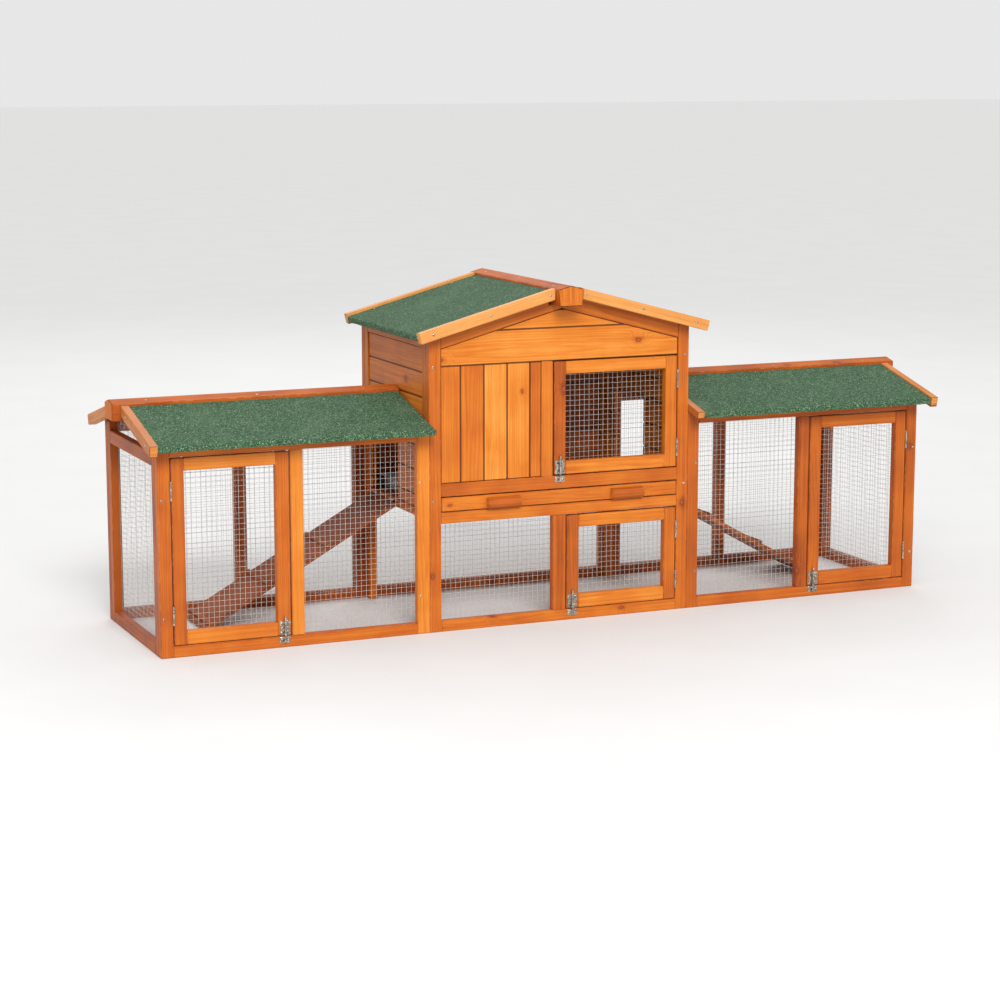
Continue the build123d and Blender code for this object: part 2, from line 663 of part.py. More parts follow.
with BuildPart() as tower_wall_boards:
    for side in (-1, 1):
        board_x = span(side, TOWER_HALF - BOARD_SET - BOARD_THICK, TOWER_HALF - BOARD_SET)
        for low, high in board_rows(DOORWAY_Z[0], WALL_TOP_RAIL):
            if low >= DOORWAY_Z[1]:
                bar(board_x, wall_rail_y, (low, high))
                continue
            if high > DOORWAY_Z[1]:
                # One board has the doorway's head cut out of its lower edge.
                bar(board_x, wall_rail_y, (DOORWAY_Z[1], high))
                high = DOORWAY_Z[1] - FIT
            bar(board_x, (wall_rail_y[0], DOORWAY_Y[0]), (low, high))
            bar(board_x, (DOORWAY_Y[1], wall_rail_y[1]), (low, high))
save("tower_wall_boards", tower_wall_boards)

with BuildPart() as tower_back_frame:
    for side in (-1, 1):
        bar(span(side, *post_x), back_y, (0, WALL_TOP))
    bar(between_posts, back_y, (0, RAIL_TOP))
    bar(between_posts, back_y, LOWER_RAIL)
save("tower_back_frame", tower_back_frame)

with BuildPart() as tower_back_boards:
    for low, high in board_rows(LOWER_RAIL[1], HEADER_FOOT):
        bar(between_posts, (BACK - BOARD_SET - BOARD_THICK, BACK - BOARD_SET), (low, high))
save("tower_back_boards", tower_back_boards)

with BuildPart() as tower_mesh:
    lower_window_z = (RAIL_TOP, LOWER_RAIL[0])
    front_mesh(lapped((-POST_IN, LOWER_STILE[0])), lapped(lower_window_z))
    back_mesh(lapped((-POST_IN, POST_IN)), lapped(lower_window_z))
save("tower_mesh", tower_mesh)


# The tower's roof ---------------------------------------------------------------------
roof_plane = Plane.XZ.offset(-TOWER_ROOF_Y[1])
roof_length = TOWER_ROOF_Y[1] - TOWER_ROOF_Y[0]
with BuildPart() as tower_roof_boards:
    band = (tower_board_top, tower_board_foot)
    both_slopes(roof_plane, slope_section(band, TOWER_SLOPE, TOWER_EAVE, RIDGE_WIDTH / 2 + FIT), roof_length)
save("tower_roof_boards", tower_roof_boards)

with BuildPart() as tower_roof_felt:
    section = felt_section(tower_felt_top, TOWER_SLOPE, TOWER_EAVE, RIDGE_WIDTH / 2 + FIT)
    both_slopes(roof_plane, section, roof_length)
save("tower_roof_felt", tower_roof_felt)

BARGE_YS = (
    (TOWER_ROOF_Y[0] - BARGE_THICK, TOWER_ROOF_Y[0] - FIT),
    (TOWER_ROOF_Y[1] + FIT, TOWER_ROOF_Y[1] + BARGE_THICK),
)
with BuildPart() as tower_bargeboards:
    reach = TOWER_EAVE + BARGE_PAST_EAVE
    section = barge_section(TOWER_APEX, TOWER_SLOPE, reach, RIDGE_WIDTH / 2 + FIT)
    for low, high in BARGE_YS:
        both_slopes(Plane.XZ.offset(-high), section, high - low)
save("tower_bargeboards", tower_bargeboards)

ridge_past = RIDGE_PAST_BARGE["tower"]
ridge_y = (BARGE_YS[0][0] - ridge_past, BARGE_YS[1][1] + ridge_past)
with BuildPart() as tower_ridge_beam:
    with BuildSketch(Plane.XZ.offset(-ridge_y[1])):
        Polygon(*ridge_section(tower_ridge_peak, TOWER_SLOPE), align=None)
    extrude(amount=ridge_y[1] - ridge_y[0])
save("tower_ridge_beam", tower_ridge_beam)


# Floor and pull-out tray --------------------------------------------------------------
with BuildPart() as tower_floor:
    floor_x = TOWER_HALF - THICK - FLOOR_GAP
    floor_foot = LOWER_RAIL[1] - FLOOR_THICK
    batten_y = (FRONT_IN + BATTEN_SHORT, BACK_IN - BATTEN_SHORT)
    bar((-floor_x, floor_x), (FRONT_IN + FIT, BACK_IN - FIT), (floor_foot, LOWER_RAIL[1]))
    for side in (-1, 1):
        batten_x = span(side, floor_x - THICK, floor_x)
        bar(batten_x, batten_y, (WALL_FOOT, floor_foot - FIT))
save("tower_floor", tower_floor)

pan_half, pan_back, pan_foot, pan_rim = TRAY_PAN
tray_board_y = (FRONT, FRONT + TRAY_FRONT_THICK)
with BuildPart() as tray_front:
    bar((-POST_IN + TRAY_GAP, POST_IN - TRAY_GAP), tray_board_y, TRAY_FRONT_Z)
save("tray_front", tray_front)

with BuildPart() as tray_pan:
    pan_y = (tray_board_y[1] + FIT, pan_back)
    bar((-pan_half, pan_half), pan_y, (pan_foot, pan_rim))
    top = tray_pan.faces().sort_by(Axis.Z)[-1]
    offset(amount=-PAN_SHEET, openings=top)
save("tray_pan", tray_pan)

with BuildPart() as tray_handles:
    for x in HANDLE_X:
        with BuildSketch(Plane.YZ.offset(x - HANDLE_LENGTH / 2)):
            with Locations((FRONT - FIT - HANDLE_CENTRE, HANDLE_Z)):
                Circle(HANDLE_RADIUS)
            with Locations((FRONT - FIT + HANDLE_RADIUS, HANDLE_Z)):
                Rectangle(2 * HANDLE_RADIUS, 3 * HANDLE_RADIUS, mode=Mode.SUBTRACT)
        extrude(amount=HANDLE_LENGTH)
save("tray_handles", tray_handles)


# The tower's doors --------------------------------------------------------------------
HINGE_X = (UPPER_DOOR_X[1] + POST_IN) / 2
TOWER_DOORS = {
    "upper": (UPPER_DOOR_X, UPPER_DOOR_Z, *UPPER_WINDOW, UPPER_RAIL[1]),
    "lower": (LOWER_DOOR_X, LOWER_DOOR_Z, *LOWER_WINDOW, RAIL_TOP),
}
with BuildPart() as tower_door_hinges:
    for name in TOWER_DOORS:
        for foot in HINGE_FEET[name]:
            frame_leaf(HINGE_X, foot, 1)
save("tower_door_hinges", tower_door_hinges)

with BuildPart() as latch_keepers:
    for x, _, _, _, rail in TOWER_DOORS.values():
        keeper(tower_latch_x(x), rail - LATCH_EDGE)
    for side in (-1, 1):
        keeper(run_latch_x(side), RAIL_TOP - LATCH_EDGE)
save("latch_keepers", latch_keepers)

for name, (x, z, window_x, window_z, rail) in TOWER_DOORS.items():
    latch_x = tower_latch_x(x)
    with BuildPart() as frame:
        door_frame(x, z, window_x, window_z)
    save(f"{name}_door_frame", frame)

    with BuildPart() as mesh:
        front_mesh(lapped(window_x), lapped(window_z))
    save(f"{name}_door_mesh", mesh)

    with BuildPart() as fittings:
        for foot in HINGE_FEET[name]:
            door_leaf(HINGE_X, foot, -1)
        latch_plate(latch_x, z[0] + LATCH_EDGE)
    save(f"{name}_door_fittings", fittings)

    with BuildPart() as door_bolt:
        bolt(latch_x, rail + BOLT_TIP)
    save(f"{name}_door_latch_bolt", door_bolt)


# Screws whose heads show --------------------------------------------------------------
with BuildPart() as frame_screws:
    for side in (-1, 1):
        for z in SCREWS_Z["tower"]:
            screw_front(side * (TOWER_HALF - SCREWS_IN["tower"]), z)
        for z in SCREWS_Z["run"]:
            screw_front(side * (RUN_END - SCREWS_IN["run end"]), z)
            screw_front(side * (TOWER_HALF + RUN_INNER_POST - SCREWS_IN["run inner"]), z)
        for x in BARGE_SCREWS_X:
            drop = BARGE_WIDTH / 2 / cos(radians(TOWER_SLOPE))
            screw_front(side * x, TOWER_APEX - tower_fall * x - drop, BARGE_YS[0][0])
save("frame_screws", frame_screws)
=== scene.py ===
"""Looks of the two-storey rabbit hutch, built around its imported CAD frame."""

import json
import random
from math import cos, pi, radians, sin

import bmesh
import bpy
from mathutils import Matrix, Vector, noise
from mathutils.geometry import convex_hull_2d


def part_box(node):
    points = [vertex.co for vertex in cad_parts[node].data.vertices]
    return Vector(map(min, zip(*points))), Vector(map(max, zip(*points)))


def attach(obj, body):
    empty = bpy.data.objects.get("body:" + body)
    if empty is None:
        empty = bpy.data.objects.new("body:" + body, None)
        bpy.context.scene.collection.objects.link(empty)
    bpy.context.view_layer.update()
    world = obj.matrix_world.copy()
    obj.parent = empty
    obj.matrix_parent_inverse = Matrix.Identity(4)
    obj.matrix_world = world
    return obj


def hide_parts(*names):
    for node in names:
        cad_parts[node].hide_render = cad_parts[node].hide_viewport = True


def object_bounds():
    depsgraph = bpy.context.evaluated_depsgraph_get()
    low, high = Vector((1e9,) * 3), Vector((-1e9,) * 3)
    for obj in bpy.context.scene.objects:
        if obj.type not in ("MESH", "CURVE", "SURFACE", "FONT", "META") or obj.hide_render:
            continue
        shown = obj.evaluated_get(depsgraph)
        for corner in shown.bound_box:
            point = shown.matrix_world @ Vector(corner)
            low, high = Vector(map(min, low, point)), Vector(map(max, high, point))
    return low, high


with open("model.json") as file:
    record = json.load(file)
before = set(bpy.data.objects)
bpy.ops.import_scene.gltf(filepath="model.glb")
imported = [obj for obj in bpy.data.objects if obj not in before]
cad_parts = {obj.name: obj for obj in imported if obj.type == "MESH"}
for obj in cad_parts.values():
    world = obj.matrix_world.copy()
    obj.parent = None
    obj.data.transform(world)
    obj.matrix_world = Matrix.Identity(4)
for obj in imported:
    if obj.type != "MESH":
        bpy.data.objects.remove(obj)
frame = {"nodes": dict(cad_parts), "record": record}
cad_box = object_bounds()
scene = bpy.context.scene

# Sizes, in metres ---------------------------------------------------------------------
TIMBER_EDGE = 0.0013  # rounding of sawn timber
BOARD_EDGE = 0.0021  # the tongued boards' V joints
WIRE_RADIUS = 0.0004
WIRE_PITCH = 0.0127
WIRE_WAVE = 0.0003  # how far a wire strays from straight
STAPLE_PITCH = 0.068
STAPLE_INSET = 0.0045
STAPLE_CROWN = 0.0095
STAPLE_WIRE = 0.0006
FELT_THICK = 0.002
FELT_FOLD = 0.006
RIB_RADIUS = 0.0015  # stiffening ribs pressed into the tray's floor
SCREW_RADIUS = 0.0030
SCREW_DOME = 0.0008
RIDGE_SCREWS = (0.12, 0.5, 0.88)  # shares of the length of what they hold
BARGE_SCREWS = (0.16, 0.84)
FELT_SCREWS = (0.98,)
FELT_SCREW_SINK = 0.0004  # into the felt
LATCH_WIDTH = 0.027

BODY_OF = {node: body for body, nodes in frame["record"]["behaviour"]["bodies"].items() for node in nodes}
SLOT_OF = {part["node"]: part["material_slot"] for part in frame["record"]["subparts"]}


# Shader helpers -----------------------------------------------------------------------
class Shader:
    """A material's node tree, with short ways to add and link its nodes."""

    def __init__(self, name):
        self.material = bpy.data.materials.new(name)
        self.material.use_nodes = True
        self.tree = self.material.node_tree
        self.surface = self.tree.nodes["Principled BSDF"]

    def add(self, kind, inputs=None, **settings):
        made = self.tree.nodes.new(kind)
        for key, value in settings.items():
            setattr(made, key, value)
        for key, value in (inputs or {}).items():
            self.put(made.inputs[key], value)
        return made

    def put(self, socket, value):
        if isinstance(value, bpy.types.NodeSocket):
            self.tree.links.new(value, socket)
        else:
            socket.default_value = value

    def math(self, operation, *values):
        made = self.add("ShaderNodeMath", operation=operation)
        for socket, value in zip(made.inputs, values):
            self.put(socket, value)
        return made.outputs[0]

    def split(self, vector):
        return self.add("ShaderNodeSeparateXYZ", {"Vector": vector}).outputs

    def join(self, x, y, z):
        return self.add("ShaderNodeCombineXYZ", {"X": x, "Y": y, "Z": z}).outputs[0]

    def attribute(self, name):
        return self.add("ShaderNodeAttribute", attribute_name=name).outputs["Vector"]

    def noise(self, vector, scale, detail=2.0, rough=0.5):
        inputs = {"Vector": vector, "Scale": scale, "Detail": detail, "Roughness": rough}
        return self.add("ShaderNodeTexNoise", inputs).outputs["Fac"]

    def span(self, value, low, high, to_low=0.0, to_high=1.0, smooth=False):
        inputs = {"Value": value, "From Min": low, "From Max": high, "To Min": to_low, "To Max": to_high}
        kind = "SMOOTHSTEP" if smooth else "LINEAR"
        return self.add("ShaderNodeMapRange", inputs, interpolation_type=kind).outputs["Result"]

    def ramp(self, value, stops):
        made = self.add("ShaderNodeValToRGB", {"Fac": value})
        elements = made.color_ramp.elements
        while len(elements) < len(stops):
            elements.new(0.5)
        for element, (place, colour) in zip(elements, stops):
            element.position = place
            element.color = (*colour, 1.0)
        return made.outputs["Color"]

    def mix(self, factor, a, b, blend="MIX"):
        made = self.add("ShaderNodeMix", data_type="RGBA", blend_type=blend)
        self.put(made.inputs[0], factor)
        for socket, value in ((made.inputs[6], a), (made.inputs[7], b)):
            colour = value if isinstance(value, bpy.types.NodeSocket) else (*value, 1.0)
            self.put(socket, colour)
        return made.outputs[2]

    def bump(self, height, strength, distance):
        inputs = {"Height": height, "Strength": strength, "Distance": distance}
        self.put(self.surface.inputs["Normal"], self.add("ShaderNodeBump", inputs).outputs["Normal"])

    def surface_is(self, **values):
        for key, value in values.items():
            self.put(self.surface.inputs[key.replace("_", " ")], value)
        return self.material


# Materials ----------------------------------------------------------------------------
FIR_TONES = (
    (0.0, (0.70, 0.282, 0.048)),
    (0.3, (0.62, 0.183, 0.014)),
    (0.62, (0.47, 0.103, 0.007)),
    (1.0, (0.24, 0.043, 0.005)),
)
# Darker tones for the inner wood: painted shade for the dim inside of the hutch.
INNER_PAINTED_SHADE_TONES = (
    (0.0, (0.50, 0.155, 0.050)),
    (0.5, (0.32, 0.082, 0.024)),
    (1.0, (0.15, 0.036, 0.011)),
)
TRIM_TONES = (
    (0.0, (0.68, 0.315, 0.085)),
    (0.5, (0.56, 0.195, 0.036)),
    (1.0, (0.30, 0.068, 0.013)),
)
KNOT_HEART = (0.36, 0.085, 0.020)
KNOT_RIM = (0.15, 0.026, 0.008)
# Colour of the joints: pooled stain, and painted shade in the V grooves and butted ends.
JOINT_STAIN_AND_SHADE = (0.085, 0.018, 0.006)
FIBRE_DARK = (0.17, 0.036, 0.010)
RAW_EDGE = (0.72, 0.36, 0.13)


def stained_fir(name, rough=0.46, tones=FIR_TONES):
    """Solid-textured fir under an orange stain: growth rings about a pith, fibres, knots and wear.

    The mesh carries each board's own frame: "grain" is (along, across, through) in metres,
    "board" is (pith across, pith through, seed) and "tone" is (tint, edge, end grain). Edge is
    0.5 on a rounded arris and 1 in the joints, which are darkened for pooled stain and as painted shade.
    """
    s = Shader(name)
    along, across, through = s.split(s.attribute("grain"))
    pith_across, pith_through, seed = s.split(s.attribute("board"))
    tint, edge, end = s.split(s.attribute("tone"))
    far_along = s.math("MULTIPLY_ADD", seed, 40.0, along)
    spot_at = s.join(far_along, across, seed)

    # A knot is an oval spot in the board's face, about which the rings swell.
    spot = s.join(s.math("MULTIPLY", far_along, 5.0), s.math("MULTIPLY_ADD", across, 7.5, seed), 0.0)
    cells = s.add("ShaderNodeTexVoronoi", {"Vector": spot, "Scale": 1.0}, voronoi_dimensions="2D")
    chance, size, _ = s.split(cells.outputs["Color"])
    wobble = s.noise(spot_at, 210.0, 3.0)
    reach = s.math("ADD", cells.outputs["Distance"], s.span(wobble, 0.2, 0.8, -0.012, 0.012))
    reach = s.math("MULTIPLY", reach, s.span(size, 0.0, 1.0, 0.75, 1.7))
    gate = s.math("GREATER_THAN", chance, 0.56)
    heart = s.math("MULTIPLY", s.span(reach, 0.016, 0.030, 1.0, 0.0, True), gate)
    rim = s.math("MULTIPLY", s.span(reach, 0.034, 0.046, 1.0, 0.0, True), gate)
    halo = s.math("MULTIPLY", s.span(reach, 0.040, 0.110, 1.0, 0.0, True), gate)
    swell = s.math("MULTIPLY", s.span(reach, 0.02, 0.20, 1.0, 0.0, True), gate)

    # Growth rings, bent by slow noise along the board.
    slow = s.noise(s.join(s.math("MULTIPLY", far_along, 2.2), s.math("MULTIPLY", across, 14.0), seed), 1.0)
    bend = s.math("MULTIPLY_ADD", slow, 0.020, -0.010)
    y = s.math("ADD", s.math("SUBTRACT", across, pith_across), bend)
    z = s.math("ADD", s.math("SUBTRACT", through, pith_through), bend)
    radius = s.math("SQRT", s.math("ADD", s.math("MULTIPLY", y, y), s.math("MULTIPLY", z, z)))
    count = s.math("MULTIPLY", radius, s.math("MULTIPLY_ADD", seed, 110.0, 190.0))
    phase = s.math("FRACT", s.math("MULTIPLY_ADD", swell, 3.0, count))
    late = s.ramp(phase, ((0.0, (0, 0, 0)), (0.45, (0.08, 0.08, 0.08)), (0.86, (1, 1, 1)), (1.0, (0, 0, 0))))

    # Streaks and fibres run along the board, and the stain has taken unevenly.
    streak_at = s.join(s.math("MULTIPLY", far_along, 2.5), s.math("MULTIPLY", across, 130.0), through)
    streak = s.noise(streak_at, 1.0, 3.0, 0.6)
    fibre_at = s.join(
        s.math("MULTIPLY", far_along, 26.0),
        s.math("MULTIPLY", across, 1100.0),
        s.math("MULTIPLY", through, 1100.0),
    )
    fibre = s.noise(fibre_at, 1.0, 2.0)
    patch = s.noise(spot_at, 9.0, 2.0)
    saw_at = s.join(s.math("MULTIPLY", across, 420.0), s.math("MULTIPLY", through, 30.0), seed)
    saw_mark = s.noise(saw_at, 1.0)
    shift = s.math("ADD", s.span(streak, 0.3, 0.7, -0.13, 0.13), s.span(patch, 0.3, 0.7, -0.12, 0.12))
    ring_tone = s.math("MULTIPLY", late, s.span(end, 0.0, 1.0, 0.14, 0.30))
    tone = s.math("ADD", s.math("ADD", tint, shift), ring_tone)
    tone = s.math("ADD", tone, s.math("MULTIPLY", end, s.span(saw_mark, 0.3, 0.7, -0.45, -0.10)))
    tone = s.math("MULTIPLY_ADD", halo, 0.22, tone)
    colour = s.ramp(tone, tones)
    colour = s.mix(s.span(fibre, 0.35, 0.75, 0.0, 0.20), colour, FIBRE_DARK)
    colour = s.mix(s.math("MULTIPLY", rim, 0.72), colour, KNOT_RIM)
    colour = s.mix(s.math("MULTIPLY", heart, 0.75), colour, KNOT_HEART)
    # Joints are darkened: pooled stain, and painted shade where boards butt or meet in a V.
    stain_and_shade_in_joints = s.span(edge, 0.6, 0.9)
    arris = s.math("MULTIPLY", edge, s.math("SUBTRACT", 1.0, stain_and_shade_in_joints))
    scuff = s.math("MULTIPLY", arris, s.span(s.noise(spot_at, 55.0, 3.0), 0.50, 0.64))
    colour = s.mix(s.math("MULTIPLY", scuff, 0.55), colour, RAW_EDGE)
    colour = s.mix(s.math("MULTIPLY", stain_and_shade_in_joints, 0.82), colour, JOINT_STAIN_AND_SHADE)

    height = s.math("MULTIPLY_ADD", fibre, 0.5, s.math("MULTIPLY", late, 0.6))
    height = s.math("MULTIPLY_ADD", rim, 0.4, height)
    s.bump(height, 0.35, 0.0004)
    gloss = s.math("MULTIPLY_ADD", fibre, 0.16, rough - 0.08)
    return s.surface_is(Base_Color=colour, Roughness=gloss, Specular_IOR_Level=0.26)


def mineral_felt(name):
    """Bitumen felt faced with green mineral granules, with a few bare and pale specks."""
    s = Shader(name)
    place = s.add("ShaderNodeTexCoord").outputs["Object"]
    granule = s.add("ShaderNodeTexVoronoi", {"Vector": place, "Scale": 540.0})
    shade = s.split(granule.outputs["Color"])[0]
    green = s.ramp(
        shade,
        (
            (0.0, (0.009, 0.024, 0.010)),
            (0.3, (0.022, 0.062, 0.027)),
            (0.6, (0.044, 0.112, 0.051)),
            (0.88, (0.086, 0.180, 0.090)),
            (1.0, (0.30, 0.40, 0.26)),
        ),
    )
    clump = s.noise(place, 160.0, 3.0, 0.6)
    green = s.mix(s.span(clump, 0.40, 0.70, 0.0, 0.45), green, (0.020, 0.046, 0.022))
    worn = s.noise(place, 11.0, 3.0)
    green = s.mix(s.span(worn, 0.50, 0.75, 0.0, 0.25), green, (0.120, 0.195, 0.110))
    grit = s.math("ADD", s.math("MULTIPLY", granule.outputs["Distance"], -0.8), clump)
    s.bump(grit, 0.9, 0.0012)
    gloss = s.span(shade, 0.0, 1.0, 0.78, 0.97)
    return s.surface_is(Base_Color=green, Roughness=gloss, Specular_IOR_Level=0.35)


def metal(name, bright, dull_and_shade, rough, scale, dents=0.25):
    """Zinc, either plated or galvanised, mottled between a bright tone and a darker one, which is painted
    shade where near black.
    """
    s = Shader(name)
    place = s.add("ShaderNodeTexCoord").outputs["Object"]
    mottle = s.noise(place, scale, 4.0, 0.6)
    flake = s.add("ShaderNodeTexVoronoi", {"Vector": place, "Scale": scale * 0.7})
    mixed = s.math("MULTIPLY_ADD", s.split(flake.outputs["Color"])[0], 0.4, s.math("MULTIPLY", mottle, 0.6))
    colour = s.ramp(mixed, ((0.25, dull_and_shade), (0.7, bright)))
    s.bump(mottle, dents, 0.0003)
    gloss = s.span(mixed, 0.2, 0.8, rough + 0.12, rough - 0.08)
    return s.surface_is(Base_Color=colour, Roughness=gloss, Metallic=0.92)


def pale_floor(name):
    """A plain pale studio floor."""
    s = Shader(name)
    place = s.add("ShaderNodeTexCoord").outputs["Object"]
    colour = s.ramp(s.noise(place, 3.0, 3.0), ((0.3, (0.69, 0.69, 0.685)), (0.7, (0.71, 0.71, 0.705))))
    return s.surface_is(Base_Color=colour, Roughness=0.75)


MATERIALS = {
    "frame_wood": stained_fir("fir_frame"),
    "board_wood": stained_fir("fir_boards", 0.44),
    "trim_wood": stained_fir("fir_trim", 0.44, TRIM_TONES),
    "ridge_wood": stained_fir("fir_ridge", 0.60),
    # The inner wood is coloured darker: painted shade.
    "inner_wood": stained_fir("fir_inner_painted_shade", 0.62, INNER_PAINTED_SHADE_TONES),
    "roof_felt": mineral_felt("green_felt"),
    "wire_mesh": metal("galvanised_wire", (0.78, 0.76, 0.72), (0.50, 0.49, 0.46), 0.50, 900.0),
    # The plated zinc's near-black darker tone is painted shade, standing in for the shadows on the latches.
    "hardware": metal("zinc_plate_and_painted_shade", (0.62, 0.58, 0.50), (0.13, 0.12, 0.10), 0.26, 420.0),
    "tray_sheet": metal("galvanised_sheet", (0.74, 0.76, 0.77), (0.52, 0.54, 0.56), 0.38, 70.0, 0.08),
}


# Mesh helpers -------------------------------------------------------------------------
def solids(node):
    """The separate solids of a CAD node, left to right, then up, with their flat faces merged."""
    whole = bmesh.new()
    whole.from_mesh(frame["nodes"][node].data)
    bmesh.ops.remove_doubles(whole, verts=whole.verts, dist=1e-6)
    bmesh.ops.dissolve_limit(whole, angle_limit=radians(1.0), verts=whole.verts, edges=whole.edges)
    whole.verts.ensure_lookup_table()
    seen = set()
    found = []
    for start in whole.verts:
        if start.index in seen:
            continue
        group = {start.index}
        queue = [start]
        while queue:
            for edge in queue.pop().link_edges:
                for vert in edge.verts:
                    if vert.index not in group:
                        group.add(vert.index)
                        queue.append(vert)
        seen |= group
        single = bmesh.new()
        copies = {index: single.verts.new(whole.verts[index].co) for index in sorted(group)}
        for face in whole.faces:
            if face.verts[0].index in group:
                single.faces.new([copies[v.index] for v in face.verts])
        single.normal_update()
        found.append(single)
    whole.free()
    return sorted(found, key=lambda bm: tuple(round(c, 3) for c in middle(bm)))


def extent(bm):
    """Lowest and highest corner of a mesh."""
    places = [v.co for v in bm.verts]
    low = Vector([min(p[i] for p in places) for i in range(3)])
    high = Vector([max(p[i] for p in places) for i in range(3)])
    return low, high


def middle(bm):
    low, high = extent(bm)
    return (low + high) / 2


def board_axes(bm):
    """A board's own directions: along its longest edge, across, and through its largest face."""
    longest = max(bm.edges, key=lambda e: round(e.calc_length(), 6))
    along = (longest.verts[1].co - longest.verts[0].co).normalized()
    if along[max(range(3), key=lambda i: abs(along[i]))] < 0:
        along = -along
    sides = [f for f in bm.faces if abs(f.normal.dot(along)) < 0.2]
    through = max(sides, key=lambda f: round(f.calc_area(), 8)).normal.normalized()
    return along, through.cross(along).normalized(), through


def write_grain(bm, axes, rng, tint):
    """Give a board its own texture frame, pith and tint."""
    along, across, through = axes
    centre = middle(bm)
    grain = bm.verts.layers.float_vector["grain"]
    board = bm.verts.layers.float_vector["board"]
    tone = bm.faces.layers.float_vector["tone"]
    pith = (rng.uniform(-0.05, 0.05), rng.choice((-1, 1)) * rng.uniform(0.012, 0.07))
    own = Vector((*pith, rng.random()))
    shift = rng.uniform(0.0, 3.0)
    for vert in bm.verts:
        place = vert.co - centre
        vert[grain] = Vector((place.dot(along) + shift, place.dot(across), place.dot(through)))
        vert[board] = own
    for face in bm.faces:
        is_end = 1.0 if abs(face.normal.dot(along)) > 0.93 else 0.0
        face[tone] = Vector((tint, face[tone][1], is_end))


def shape_board(bm, edge_round, rng, tint):
    """Round a board's edges and write its grain. Its V joints and butted ends get pooled stain and painted
    shade.
    """
    axes = board_axes(bm)
    tone = bm.faces.layers.float_vector.new("tone")
    bm.verts.layers.float_vector.new("grain")
    bm.verts.layers.float_vector.new("board")
    sharp = [e for e in bm.edges if len(e.link_faces) == 2 and e.calc_face_angle() > radians(25)]
    made = bmesh.ops.bevel(bm, geom=sharp, offset=edge_round, segments=2, affect="EDGES", clamp_overlap=True)
    bm.normal_update()
    for face in made["faces"]:
        butted = abs(face.normal.dot(axes[0])) > 0.25
        # Edge 1 marks the joints, darkened for pooled stain and as painted shade.
        face[tone] = Vector((0.0, 1.0 if butted or edge_round == BOARD_EDGE else 0.5, 0.0))
    write_grain(bm, axes, rng, tint)


def collect(meshes):
    """Join several bmeshes into one mesh, keeping their layers."""
    joined = bmesh.new()
    for single in meshes:
        part = bpy.data.meshes.new("part")
        single.to_mesh(part)
        single.free()
        joined.from_mesh(part)
        bpy.data.meshes.remove(part)
    return joined


def place(bm, name, body, slot, replaced=(), smooth=False):
    """Turn a bmesh into a piece that rides on its body and has its slot's material."""
    bmesh.ops.recalc_face_normals(bm, faces=bm.faces)
    mesh = bpy.data.meshes.new(name)
    bm.to_mesh(mesh)
    bm.free()
    if smooth:
        mesh.shade_smooth()
        mesh.set_sharp_from_angle(angle=radians(38))
    mesh.materials.append(MATERIALS[slot])
    piece = bpy.data.objects.new(name, mesh)
    scene.collection.objects.link(piece)
    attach(piece, body)
    if replaced:
        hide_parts(*replaced)
    return piece


def tube(bm, points, radius, sides=6):
    """Sweep a round section along a list of points, with closed ends."""
    rings = []
    normal = None
    for i, point in enumerate(points):
        ahead = points[min(i + 1, len(points) - 1)] - points[max(i - 1, 0)]
        ahead.normalize()
        if normal is None:
            normal = ahead.orthogonal().normalized()
        normal = (normal - ahead * normal.dot(ahead)).normalized()
        other = ahead.cross(normal)
        ring = []
        for step in range(sides):
            angle = 2 * pi * step / sides
            ring.append(bm.verts.new(point + normal * (cos(angle) * radius) + other * (sin(angle) * radius)))
        rings.append(ring)
    for first, second in zip(rings, rings[1:]):
        for step in range(sides):
            after = (step + 1) % sides
            bm.faces.new((first[step], first[after], second[after], second[step]))
    bm.faces.new(list(reversed(rings[0])))
    bm.faces.new(rings[-1])


# Timber -------------------------------------------------------------------------------
def timber(node, tints, edge_round=TIMBER_EDGE, smooth=False, boards=0.0):
    """Replace a CAD node of timber by rounded, grained boards.

    tints is one tint, a (low, high) range, or a list with one for each solid. With boards,
    each solid is first sawn into boards of about that width.
    """
    done = []
    for number, single in enumerate(solids(node)):
        rng = random.Random(f"{node} {number}")
        parts = saw(single, boards) if boards else [single]
        for part in parts:
            if isinstance(tints, list):
                tint = tints[number]
            elif isinstance(tints, tuple):
                tint = rng.uniform(*tints)
            else:
                tint = tints
            shape_board(part, edge_round, rng, tint)
            done.append(part)
    return place(collect(done), f"{node}_timber", BODY_OF[node], SLOT_OF[node], [node], smooth)


def saw(bm, width):
    """Cut a slab into boards that lie side by side along its longest edge."""
    along, across, _ = board_axes(bm)
    reach = [v.co.dot(across) for v in bm.verts]
    low, high = min(reach), max(reach)
    count = max(1, round((high - low) / width))
    gap = 0.00015
    cut = []
    for number in range(count):
        piece = bm.copy()
        limits = (
            (low + (high - low) * number / count + gap * (number > 0), -across),
            (low + (high - low) * (number + 1) / count - gap * (number < count - 1), across),
        )
        for place_at, normal in limits:
            made = bmesh.ops.bisect_plane(
                piece,
                geom=piece.verts[:] + piece.edges[:] + piece.faces[:],
                plane_co=across * place_at,
                plane_no=normal,
                clear_outer=True,
            )
            rim = [e for e in made["geom_cut"] if isinstance(e, bmesh.types.BMEdge)]
            if rim:
                bmesh.ops.contextual_create(piece, geom=rim)
        piece.normal_update()
        cut.append(piece)
    bm.free()
    return cut


